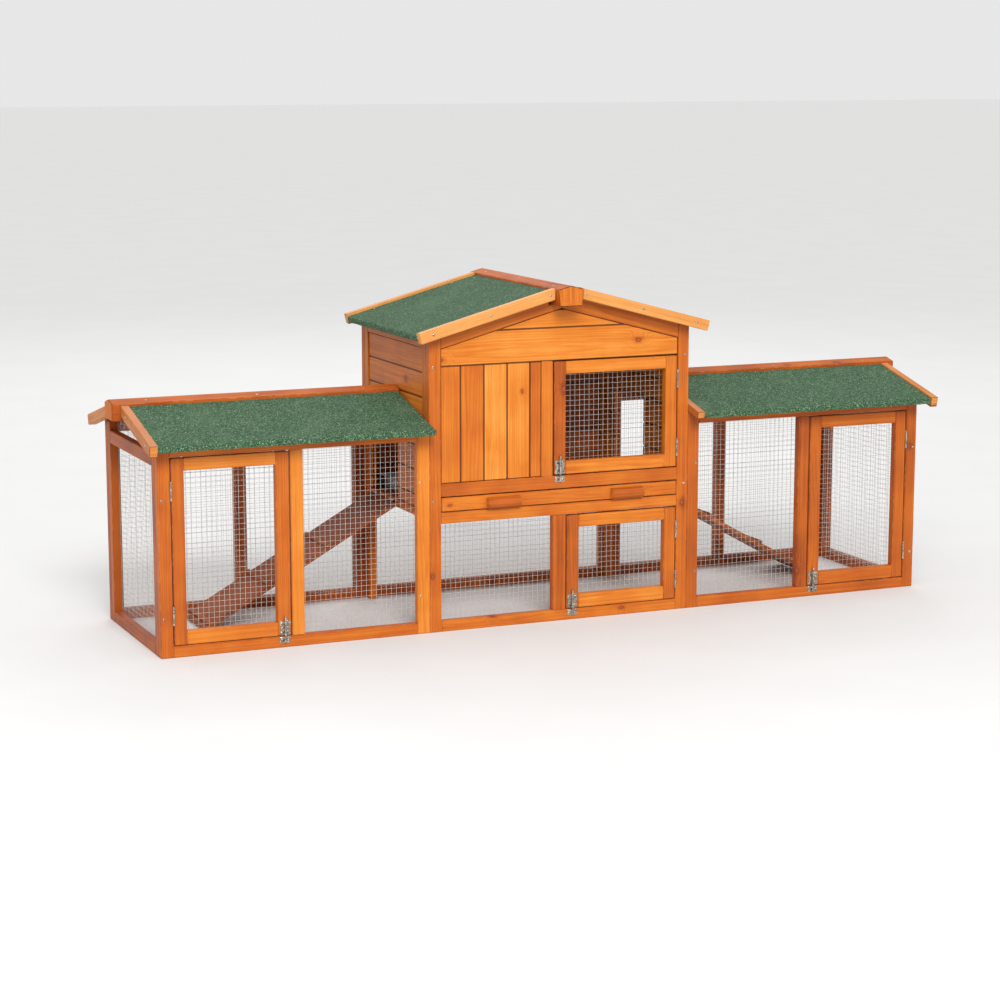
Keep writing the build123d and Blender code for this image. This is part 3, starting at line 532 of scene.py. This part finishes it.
# Lists run left to right, then up, so a frame reads: post, bottom rail, top rail, stile, post.
timber("left_run_front_frame", [0.60, 0.50, 0.50, 0.22, 0.35])
timber("right_run_front_frame", [0.66, 0.72, 0.60, 0.60, 0.66])
timber("left_run_door_frame", [0.62, 0.40, 0.32, 0.54])
timber("right_run_door_frame", [0.64, 0.54, 0.50, 0.70])
for run in ("left_run", "right_run"):
    timber(f"{run}_back_frame", (0.72, 0.92))
    timber(f"{run}_end_frame", (0.66, 0.84))
    timber(f"{run}_roof_boards", (0.45, 0.80), BOARD_EDGE, boards=0.058)
    timber(f"{run}_bargeboards", (0.46, 0.66))
    timber(f"{run}_ridge_beam", 0.66, 0.0018)
    timber(f"{run}_ramp", (0.35, 0.65))
timber("tower_front_frame", [0.60, 0.40, 0.62, 0.48, 0.40, 0.58, 0.56])
timber("tower_front_planks", [0.48, 0.46, 0.10, 0.24, 0.56], BOARD_EDGE)
timber("tower_gable_boards", [0.24, 0.28, 0.45, 0.50], BOARD_EDGE)
timber("tower_rafters", (0.44, 0.60))
timber("tower_wall_frames", (0.40, 0.60))
timber("tower_wall_boards", (0.26, 0.50), BOARD_EDGE)
timber("tower_back_frame", (0.55, 0.75))
timber("tower_back_boards", (0.80, 1.0), BOARD_EDGE)
timber("tower_roof_boards", (0.70, 0.95), BOARD_EDGE, boards=0.058)
timber("tower_bargeboards", (0.02, 0.18))
timber("tower_ridge_beam", 0.66, 0.0018)
timber("tower_floor", (0.50, 0.70))
timber("tray_front", 0.42)
timber("tray_handles", (0.66, 0.76), 0.0012, smooth=True)
timber("upper_door_frame", [0.74, 0.36, 0.24, 0.40])
timber("lower_door_frame", [0.70, 0.34, 0.38, 0.60])


# Wire mesh ----------------------------------------------------------------------------
def crossings(outline, axis, value):
    """Where a line at one value of an axis enters and leaves a convex outline."""
    other = 1 - axis
    hits = []
    for a, b in zip(outline, outline[1:] + outline[:1]):
        if (a[axis] - value) * (b[axis] - value) < 0:
            share = (value - a[axis]) / (b[axis] - a[axis])
            hits.append(a[other] + (b[other] - a[other]) * share)
    return (min(hits), max(hits)) if len(hits) >= 2 else None


def wire_panels(node):
    """Half-inch welded mesh of round wires, and the staples that hold it, for each panel of a node."""
    wires = bmesh.new()
    staples = bmesh.new()
    rng = random.Random(node)
    for panel in solids(node):
        low, high = extent(panel)
        thin = min(range(3), key=lambda i: high[i] - low[i])
        flat = [i for i in range(3) if i != thin]
        spots = [(v.co[flat[0]], v.co[flat[1]]) for v in panel.verts]
        outline = [spots[i] for i in convex_hull_2d(spots)]
        panel.free()
        inward = -1.0 if low[thin] > 0 else 1.0
        face = low[thin] if inward > 0 else high[thin]
        for layer, axis in enumerate((0, 1)):
            depth = face + inward * (WIRE_RADIUS * 0.9 + layer * 1.94 * WIRE_RADIUS)
            room = high[flat[axis]] - low[flat[axis]]
            count = int(room / WIRE_PITCH)
            start = low[flat[axis]] + (room - count * WIRE_PITCH) / 2
            for number in range(count + 1):
                value = min(max(start + number * WIRE_PITCH, low[flat[axis]] + 1e-5), high[flat[axis]] - 1e-5)
                reach = crossings(outline, axis, value)
                if reach is None:
                    continue
                drift = rng.uniform(0.0, 9.0)
                steps = max(2, round((reach[1] - reach[0]) / 0.032))
                points = []
                for step in range(steps + 1):
                    along = reach[0] + (reach[1] - reach[0]) * step / steps
                    point = Vector((0.0, 0.0, 0.0))
                    point[flat[1 - axis]] = along
                    stray = noise.noise(Vector((along * 7.0, value * 3.0, drift * 0.02)))
                    point[flat[axis]] = value + WIRE_WAVE * stray
                    point[thin] = depth
                    points.append(point)
                tube(wires, points, WIRE_RADIUS)
        add_staples(staples, low, high, outline, thin, flat, face, inward)
    place(wires, f"{node}_wires", BODY_OF[node], SLOT_OF[node], [node], smooth=True)
    place(staples, f"{node}_staples", BODY_OF[node], "hardware")


def add_staples(bm, low, high, outline, thin, flat, face, inward):
    """Staples across the outer wires, where the panel laps over its frame."""
    height = face + inward * 4.4 * WIRE_RADIUS
    for axis in (0, 1):
        room = high[flat[axis]] - low[flat[axis]]
        count = max(2, round(room / STAPLE_PITCH))
        for number in range(count):
            value = low[flat[axis]] + room * (number + 0.5) / count
            for end, reach in enumerate(crossings(outline, axis, value)):
                centre = Vector((0.0, 0.0, 0.0))
                centre[flat[axis]] = value
                centre[flat[1 - axis]] = reach + (STAPLE_INSET if end == 0 else -STAPLE_INSET)
                along = Vector((0.0, 0.0, 0.0))
                along[flat[axis]] = STAPLE_CROWN / 2
                top = centre.copy()
                top[thin] = height
                foot = centre.copy()
                foot[thin] = face - inward * 0.0001
                bend = Vector((0.0, 0.0, 0.0))
                bend[thin] = inward * 0.0008
                points = [
                    foot - along,
                    top - along - bend,
                    top - along * 0.84,
                    top + along * 0.84,
                    top + along - bend,
                    foot + along,
                ]
                tube(bm, points, STAPLE_WIRE)


for run in ("left_run", "right_run"):
    wire_panels(f"{run}_mesh")
    wire_panels(f"{run}_door_mesh")
wire_panels("tower_mesh")
wire_panels("upper_door_mesh")
wire_panels("lower_door_mesh")


# Roof felt ----------------------------------------------------------------------------
def felt(node, along):
    """Replace a roof's felt: a thick sheet that rolls over the eave, with a rough cut edge."""
    cross = 1 - along
    meshes = []
    for number, slab in enumerate(solids(node)):
        low, high = extent(slab)
        way = 1.0 if middle(slab)[cross] > 0 else -1.0
        places = [v.co.copy() for v in slab.verts]
        slab.free()
        ridge = max(places, key=lambda p: (round(p.z, 5), -abs(p[cross])))
        outer = max(abs(p[cross]) for p in places)
        eave = max((p for p in places if abs(p[cross]) > outer - 1e-5), key=lambda p: p.z)
        foot = min((p for p in places if abs(p[cross]) > outer - 1e-5), key=lambda p: p.z)
        start = Vector((abs(ridge[cross]), ridge.z))
        corner = Vector((outer, eave.z))
        slope = (corner - start).normalized()
        normal = Vector((-slope.y, slope.x))
        profile = []
        flat_reach = (corner - start).length - FELT_FOLD
        for step in range(53):
            profile.append((start + slope * (flat_reach * step / 52), normal))
        down = Vector((0.0, -1.0))
        out = Vector((1.0, 0.0))
        for step in range(1, 7):
            share = step / 6
            a = start + slope * flat_reach
            c = corner + down * FELT_FOLD
            point = a * (1 - share) ** 2 + corner * (2 * share * (1 - share)) + c * share**2
            profile.append((point, (normal * (1 - share) + out * share).normalized()))
        drop = corner.y - FELT_FOLD - foot.z
        for step in range(1, 5):
            profile.append((corner + down * (FELT_FOLD + drop * step / 4), out))
        meshes.append(felt_sheet(profile, along, cross, way, low[along], high[along], number))
    return place(collect(meshes), f"{node}_sheet", BODY_OF[node], SLOT_OF[node], [node], smooth=True)


def felt_sheet(profile, along, cross, way, low, high, number):
    """Sweep the felt's profile along the roof, with slight waves and a frayed foot."""
    bm = bmesh.new()
    columns = int((high - low) / 0.006)
    rings = []
    for column in range(columns + 1):
        place_at = low + (high - low) * column / columns
        outer_ring = []
        inner_ring = []
        for index, (point, normal) in enumerate(profile):
            wave = noise.noise(Vector((place_at * 16.0, index * 0.11, number * 5.0)))
            grit = noise.noise(Vector((place_at * 260.0, index * 1.7, number * 5.0 + 2.0)))
            lift = -0.00035 + 0.0003 * wave + 0.00022 * grit
            last = index == len(profile) - 1
            fray = 0.0011 * noise.noise(Vector((place_at * 320.0, 0.0, number + 8.0))) if last else 0.0
            fray += 0.0012 * noise.noise(Vector((place_at * 22.0, 0.0, number + 3.0))) if last else 0.0
            for ring, depth in ((outer_ring, lift), (inner_ring, -FELT_THICK)):
                spot = Vector((0.0, 0.0, 0.0))
                spot[along] = place_at
                spot[cross] = way * (point.x + normal.x * depth)
                spot.z = point.y + normal.y * depth + max(fray, -0.0006)
                ring.append(bm.verts.new(spot))
        rings.append(outer_ring + inner_ring[::-1])
    total = len(rings[0])
    for first, second in zip(rings, rings[1:]):
        for step in range(total):
            after = (step + 1) % total
            bm.faces.new((first[step], first[after], second[after], second[step]))
    half = total // 2
    for ring in (rings[0], rings[-1]):
        for step in range(half - 1):
            bm.faces.new((ring[step], ring[step + 1], ring[total - 2 - step], ring[total - 1 - step]))
    return bm


for run in ("left_run", "right_run"):
    felt(f"{run}_roof_felt", 0)
felt("tower_roof_felt", 1)


# Hardware -----------------------------------------------------------------------------
def screw(bm, centre, out, radius=SCREW_RADIUS, turn=0.4):
    """A domed screw head with a cross recess, on a surface that faces out."""
    out = out.normalized()
    side = out.orthogonal().normalized()
    up = out.cross(side)
    side, up = side * cos(turn) + up * sin(turn), up * cos(turn) - side * sin(turn)

    def at(x, y, z):
        return centre + side * x + up * y + out * z

    arm = radius * 0.62
    slot = radius * 0.17
    levels = ((1.0, 0.0), (0.985, 0.3), (0.90, 0.62), (0.74, 0.86))
    steps = 24
    rings = []
    for share, height in levels:
        ring = []
        for step in range(steps):
            angle = 2 * pi * step / steps
            x, y = cos(angle) * radius * share, sin(angle) * radius * share
            ring.append(bm.verts.new(at(x, y, SCREW_DOME * height)))
        rings.append(ring)
    for first, second in zip(rings, rings[1:]):
        for step in range(steps):
            after = (step + 1) % steps
            bm.faces.new((first[step], first[after], second[after], second[step]))
    cross = []
    for quarter in range(4):
        angle = pi / 2 * quarter
        for x, y in ((arm, -slot), (arm, slot), (slot, slot)):
            cross.append((x * cos(angle) - y * sin(angle), x * sin(angle) + y * cos(angle)))
    top = [bm.verts.new(at(x, y, SCREW_DOME)) for x, y in cross]
    foot = [bm.verts.new(at(x * 0.8, y * 0.8, SCREW_DOME * 0.15)) for x, y in cross]
    count = len(cross)
    for step in range(count):
        after = (step + 1) % count
        bm.faces.new((top[step], top[after], foot[after], foot[step]))
    bm.faces.new(foot)
    inner = rings[-1]
    for step in range(count):
        after = (step + 1) % count
        first, second = step * 2, (step * 2 + 2) % steps
        a = inner[(first - 1) % steps]
        b = inner[first]
        c = inner[(second - 1) % steps]
        bm.faces.new((top[step], a, b))
        bm.faces.new((top[step], b, top[after]))
        bm.faces.new((top[after], b, c))
    bm.faces.new(list(reversed(rings[0])))


def copy_metal(node, edge_round=0.0003):
    """Replace a CAD node of metal by the same shape with its edges eased."""
    done = []
    for single in solids(node):
        ease(single, edge_round)
        done.append(single)
    return place(collect(done), f"{node}_metal", BODY_OF[node], SLOT_OF[node], [node], smooth=True)


def ease(bm, edge_round):
    """Round the sharp edges of a metal piece."""
    sharp = [e for e in bm.edges if len(e.link_faces) == 2 and e.calc_face_angle() > radians(50)]
    bmesh.ops.bevel(bm, geom=sharp, offset=edge_round, segments=1, affect="EDGES", clamp_overlap=True)


def stamped_plate(bm, low, high, waist):
    """A pressed plate with round lobes at its screws, drawn in X and Z and as thick as its box."""
    radius = 0.0046
    steps = 7
    outline = []
    corners = (
        (high.x - radius, high.z - radius, 0.0),
        (low.x + radius, high.z - radius, 90.0),
        (low.x + radius, low.z + radius, 180.0),
        (high.x - radius, low.z + radius, 270.0),
    )
    centre_x = (low.x + high.x) / 2
    centre_z = (low.z + high.z) / 2
    for number, (x, z, start) in enumerate(corners):
        for step in range(steps + 1):
            angle = radians(start + 90.0 * step / steps)
            outline.append((x + cos(angle) * radius, z + sin(angle) * radius))
        if waist:
            # The edge draws in between two lobes.
            ahead = corners[(number + 1) % 4]
            mid_x, mid_z = (x + ahead[0]) / 2, (z + ahead[1]) / 2
            if number % 2:
                edge_x = low.x if mid_x < centre_x else high.x
                inward = waist if mid_x < centre_x else -waist
                spread = (high.z - low.z) * 0.13
                sign = 1.0 if ahead[1] > z else -1.0
                outline.append((edge_x + inward * 0.4, mid_z - sign * spread * 1.5))
                outline.append((edge_x + inward, mid_z - sign * spread))
                outline.append((edge_x + inward, mid_z + sign * spread))
                outline.append((edge_x + inward * 0.4, mid_z + sign * spread * 1.5))
            else:
                edge_z = high.z if mid_z > centre_z else low.z
                inward = -waist if mid_z > centre_z else waist
                spread = (high.x - low.x) * 0.10
                sign = 1.0 if ahead[0] > x else -1.0
                outline.append((mid_x - sign * spread * 1.6, edge_z + inward * 0.2))
                outline.append((mid_x - sign * spread, edge_z + inward * 0.7))
                outline.append((mid_x + sign * spread, edge_z + inward * 0.7))
                outline.append((mid_x + sign * spread * 1.6, edge_z + inward * 0.2))
    ease_by = 0.0003
    levels = ((high.y, 1.0), (low.y + ease_by, 1.0), (low.y, 0.965))
    rings = []
    for y, share in levels:
        ring = []
        for x, z in outline:
            spot = (centre_x + (x - centre_x) * share, y, centre_z + (z - centre_z) * share)
            ring.append(bm.verts.new(spot))
        rings.append(ring)
    count = len(outline)
    for first, second in zip(rings, rings[1:]):
        for step in range(count):
            after = (step + 1) % count
            bm.faces.new((first[step], first[after], second[after], second[step]))
    bm.faces.new(rings[0])
    bm.faces.new(list(reversed(rings[-1])))


def arch(bm, x, y, foot, top):
    """A pressed strap that arches over the bolt, from the plate at y."""
    inner = 0.0030
    thick = 0.0011
    depth = 0.0028
    path = [(-inner - 0.0028, 0.0), (-inner - 0.0009, 0.0)]
    path += [(-inner * cos(a), depth + inner * sin(a)) for a in [pi * k / 10 for k in range(11)]]
    path += [(inner + 0.0009, 0.0), (inner + 0.0028, 0.0)]
    rings = []
    for index, (u, v) in enumerate(path):
        before = path[max(index - 1, 0)]
        after = path[min(index + 1, len(path) - 1)]
        du, dv = after[0] - before[0], after[1] - before[1]
        length = (du * du + dv * dv) ** 0.5
        nu, nv = -dv / length, du / length
        outer = (u + nu * thick, v + nv * thick)
        ring = [
            bm.verts.new((x + u, y - v, foot)),
            bm.verts.new((x + outer[0], y - outer[1], foot)),
            bm.verts.new((x + outer[0], y - outer[1], top)),
            bm.verts.new((x + u, y - v, top)),
        ]
        rings.append(ring)
    for first, second in zip(rings, rings[1:]):
        for step in range(4):
            after = (step + 1) % 4
            bm.faces.new((first[step], first[after], second[after], second[step]))
    bm.faces.new(rings[0])
    bm.faces.new(list(reversed(rings[-1])))


def latch_metal(node):
    """Replace latch plates and straps by pressed ones with screws, and keep the hinge leaves."""
    bm = bmesh.new()
    leaves = []
    plates = []
    straps = []
    for single in solids(node):
        low, high = extent(single)
        size = high - low
        if abs(size.x - LATCH_WIDTH) < 0.001 and size.y < 0.002:
            plates.append((low, high))
            single.free()
        elif size.x > 0.008 and size.y < 0.002 and size.z < 0.01:
            straps.append((low, high))
            single.free()
        elif size.z < 0.01:
            single.free()
        else:
            ease(single, 0.0003)
            leaves.append(single)
    out = Vector((0.0, -1.0, 0.0))
    for number, (low, high) in enumerate(plates):
        tall = high.z - low.z > 0.02
        stamped_plate(bm, low, high, 0.0028 if tall else 0.0012)
        rows = (low.z + 0.0062, high.z - 0.0062) if tall else ((low.z + high.z) / 2 - 0.001,)
        for row in rows:
            for x in (low.x + 0.0052, high.x - 0.0052):
                screw(bm, Vector((x, low.y, row)), out, 0.0029, 0.3 + row * 40 + x * 9)
    for low, high in straps:
        arch(bm, (low.x + high.x) / 2, plates[0][0].y, low.z, high.z)
    return place(collect(leaves + [bm]), f"{node}_metal", BODY_OF[node], SLOT_OF[node], [node], smooth=True)


for door in ("left_run_door", "right_run_door", "upper_door", "lower_door"):
    latch_metal(f"{door}_fittings")
latch_metal("latch_keepers")
for run in ("left_run", "right_run"):
    copy_metal(f"{run}_door_hinges")
    copy_metal(f"{run}_latch_bolt", 0.0005)
    copy_metal(f"{run}_ramp_leaves")
    copy_metal(f"{run}_ramp_hinges")
copy_metal("tower_door_hinges")
copy_metal("upper_door_latch_bolt", 0.0005)
copy_metal("lower_door_latch_bolt", 0.0005)


def frame_screws():
    """Screw heads in place of the plain CAD heads."""
    bm = bmesh.new()
    for number, single in enumerate(solids("frame_screws")):
        low, high = extent(single)
        centre = (low + high) / 2
        size = high - low
        single.free()
        thin = min(range(3), key=lambda i: size[i])
        out = Vector((0.0, 0.0, 0.0))
        out[thin] = -1.0 if centre[thin] < 0 else 1.0
        centre[thin] = high[thin] if out[thin] < 0 else low[thin]
        screw(bm, centre, out, SCREW_RADIUS, number * 0.7)
    body, slot = BODY_OF["frame_screws"], SLOT_OF["frame_screws"]
    place(bm, "frame_screws_heads", body, slot, ["frame_screws"], smooth=True)


frame_screws()


def heads_along(bm, node, out, shares, across=0.0, sink=0.0, only=None):
    """Add screw heads along the face that looks most nearly out, on each solid of a node."""
    out = Vector(out)
    for number, single in enumerate(solids(node)):
        if only is None or only(middle(single)):
            along, _, _ = board_axes(single)
            face = max(single.faces, key=lambda f: (round(f.normal.dot(out), 3), round(f.calc_area(), 8)))
            reach = [v.co.dot(along) for v in face.verts]
            low, high = min(reach), max(reach)
            centre = face.calc_center_bounds()
            start = centre - along * centre.dot(along)
            side = face.normal.cross(along) * across - face.normal * sink
            for share in shares:
                spot = start + along * (low + (high - low) * share) + side
                screw(bm, spot, face.normal, SCREW_RADIUS * 0.9, number + share * 9)
        single.free()


def roof_screws():
    """Screws down the ridge beams, in the runs' bargeboards, and at the right or back end of the felts."""
    bm = bmesh.new()
    for run, way in (("left_run", -1.0), ("right_run", 1.0)):
        for slope in (-0.25, 0.25):
            up = (0.0, slope, 0.97)
            heads_along(bm, f"{run}_ridge_beam", up, RIDGE_SCREWS)
            for across in (-0.075, 0.075):
                felt_heads(bm, f"{run}_roof_felt", up, across, 1)
        heads_along(bm, f"{run}_bargeboards", (way, 0.0, 0.0), BARGE_SCREWS, only=lambda m: abs(m.x) > 0.9)
    for slope in (-0.26, 0.26):
        up = (slope, 0.0, 0.97)
        heads_along(bm, "tower_ridge_beam", up, RIDGE_SCREWS)
        for across in (-0.11, 0.11):
            felt_heads(bm, "tower_roof_felt", up, across, 0)
    place(bm, "roof_screws", BODY_OF["frame_screws"], SLOT_OF["frame_screws"], smooth=True)


def felt_heads(bm, node, up, across, axis):
    """Add heads at one end of the felt that slopes towards up."""
    heads_along(bm, node, up, FELT_SCREWS, across, FELT_SCREW_SINK, lambda m: (m[axis] < 0) == (up[axis] < 0))


roof_screws()


# Tray ---------------------------------------------------------------------------------
def tray_pan():
    """The sheet-metal pan, with a rolled rim and pressed stiffening ribs in its floor."""
    low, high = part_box("tray_pan")
    bm = bmesh.new()
    sheet = 0.0009
    bend = 0.004
    flare = 0.0015
    outline = []
    for corner in range(4):
        x = (high.x, low.x, low.x, high.x)[corner]
        y = (high.y, high.y, low.y, low.y)[corner]
        sx = 1.0 if x > 0 else -1.0
        sy = 1.0 if y > (low.y + high.y) / 2 else -1.0
        for step in range(5):
            angle = radians(90.0 * corner + 90.0 * step / 4)
            outline.append((x - sx * bend + cos(angle) * bend, y - sy * bend + sin(angle) * bend, sx, sy))
    levels = []
    for inset, z in (
        (0.006, low.z),
        (0.003, low.z + 0.0006),
        (flare, low.z + 0.004),
        (0.0005, high.z - 0.002),
        (0.0, high.z - 0.0008),
        (0.0006, high.z),
        (0.0020, high.z - 0.0004),
        (0.0022, high.z - 0.0026),
        (flare + sheet, low.z + 0.0048),
        (0.004, low.z + 0.0006 + sheet),
        (0.0065, low.z + sheet),
    ):
        levels.append([bm.verts.new((x - sx * inset, y - sy * inset, z)) for x, y, sx, sy in outline])
    count = len(outline)
    for first, second in zip(levels, levels[1:]):
        for step in range(count):
            after = (step + 1) % count
            bm.faces.new((first[step], first[after], second[after], second[step]))
    bm.faces.new(list(reversed(levels[0])))
    bm.faces.new(levels[-1])
    rib_reach = (high.y - low.y) * 0.38
    for number in range(5):
        x = low.x + (high.x - low.x) * (number + 1) / 6
        points = [Vector((x, (low.y + high.y) / 2 + way * rib_reach, low.z + RIB_RADIUS)) for way in (-1, 1)]
        tube(bm, points, RIB_RADIUS, 10)
    place(bm, "tray_pan_sheet", BODY_OF["tray_pan"], SLOT_OF["tray_pan"], ["tray_pan"], smooth=True)


tray_pan()


# Studio -------------------------------------------------------------------------------
def studio():
    """A pale floor, soft lights and the camera."""
    bm = bmesh.new()
    bmesh.ops.create_grid(bm, x_segments=2, y_segments=2, size=60.0)
    mesh = bpy.data.meshes.new("studio_floor")
    bm.to_mesh(mesh)
    bm.free()
    mesh.materials.append(pale_floor("studio_floor"))
    floor = bpy.data.objects.new("studio_floor", mesh)
    floor.location.z = cad_box[0][2] - 0.0002
    scene.collection.objects.link(floor)

    world = bpy.data.worlds.new("studio")
    world.use_nodes = True
    background = world.node_tree.nodes["Background"]
    background.inputs["Color"].default_value = (1.0, 1.0, 1.0, 1.0)
    background.inputs["Strength"].default_value = 0.80
    scene.world = world
    scene.view_settings.view_transform = "Standard"

    target = Vector((0.0, 0.0, 0.35))
    for name, kind, spot, size, power in (
        ("sun", "SUN", (-0.7, -4.4, 3.7), radians(24), 1.35),
        ("key", "AREA", (-1.6, -4.6, 3.7), 2.2, 140.0),
        ("fill", "AREA", (-5.0, -2.2, 2.6), 3.0, 30.0),
        ("back", "AREA", (1.5, 4.5, 4.0), 3.0, 50.0),
    ):
        light = bpy.data.lights.new(name, kind)
        if kind == "SUN":
            light.angle = size
        else:
            light.size = size
        light.energy = power
        lamp = bpy.data.objects.new(name, light)
        lamp.location = spot
        lamp.rotation_euler = (target - Vector(spot)).to_track_quat("-Z", "Y").to_euler()
        scene.collection.objects.link(lamp)

    eye = bpy.data.cameras.new("camera")
    eye.sensor_width = 36.0
    eye.lens = 89.67
    camera = bpy.data.objects.new("camera", eye)
    camera.location = (-2.5027, -5.6327, 1.3642)
    yaw = 0.4087
    pitch = 0.1770
    camera.rotation_euler = (pi / 2 - pitch, 0.0, -yaw)
    scene.collection.objects.link(camera)
    scene.camera = camera


studio()
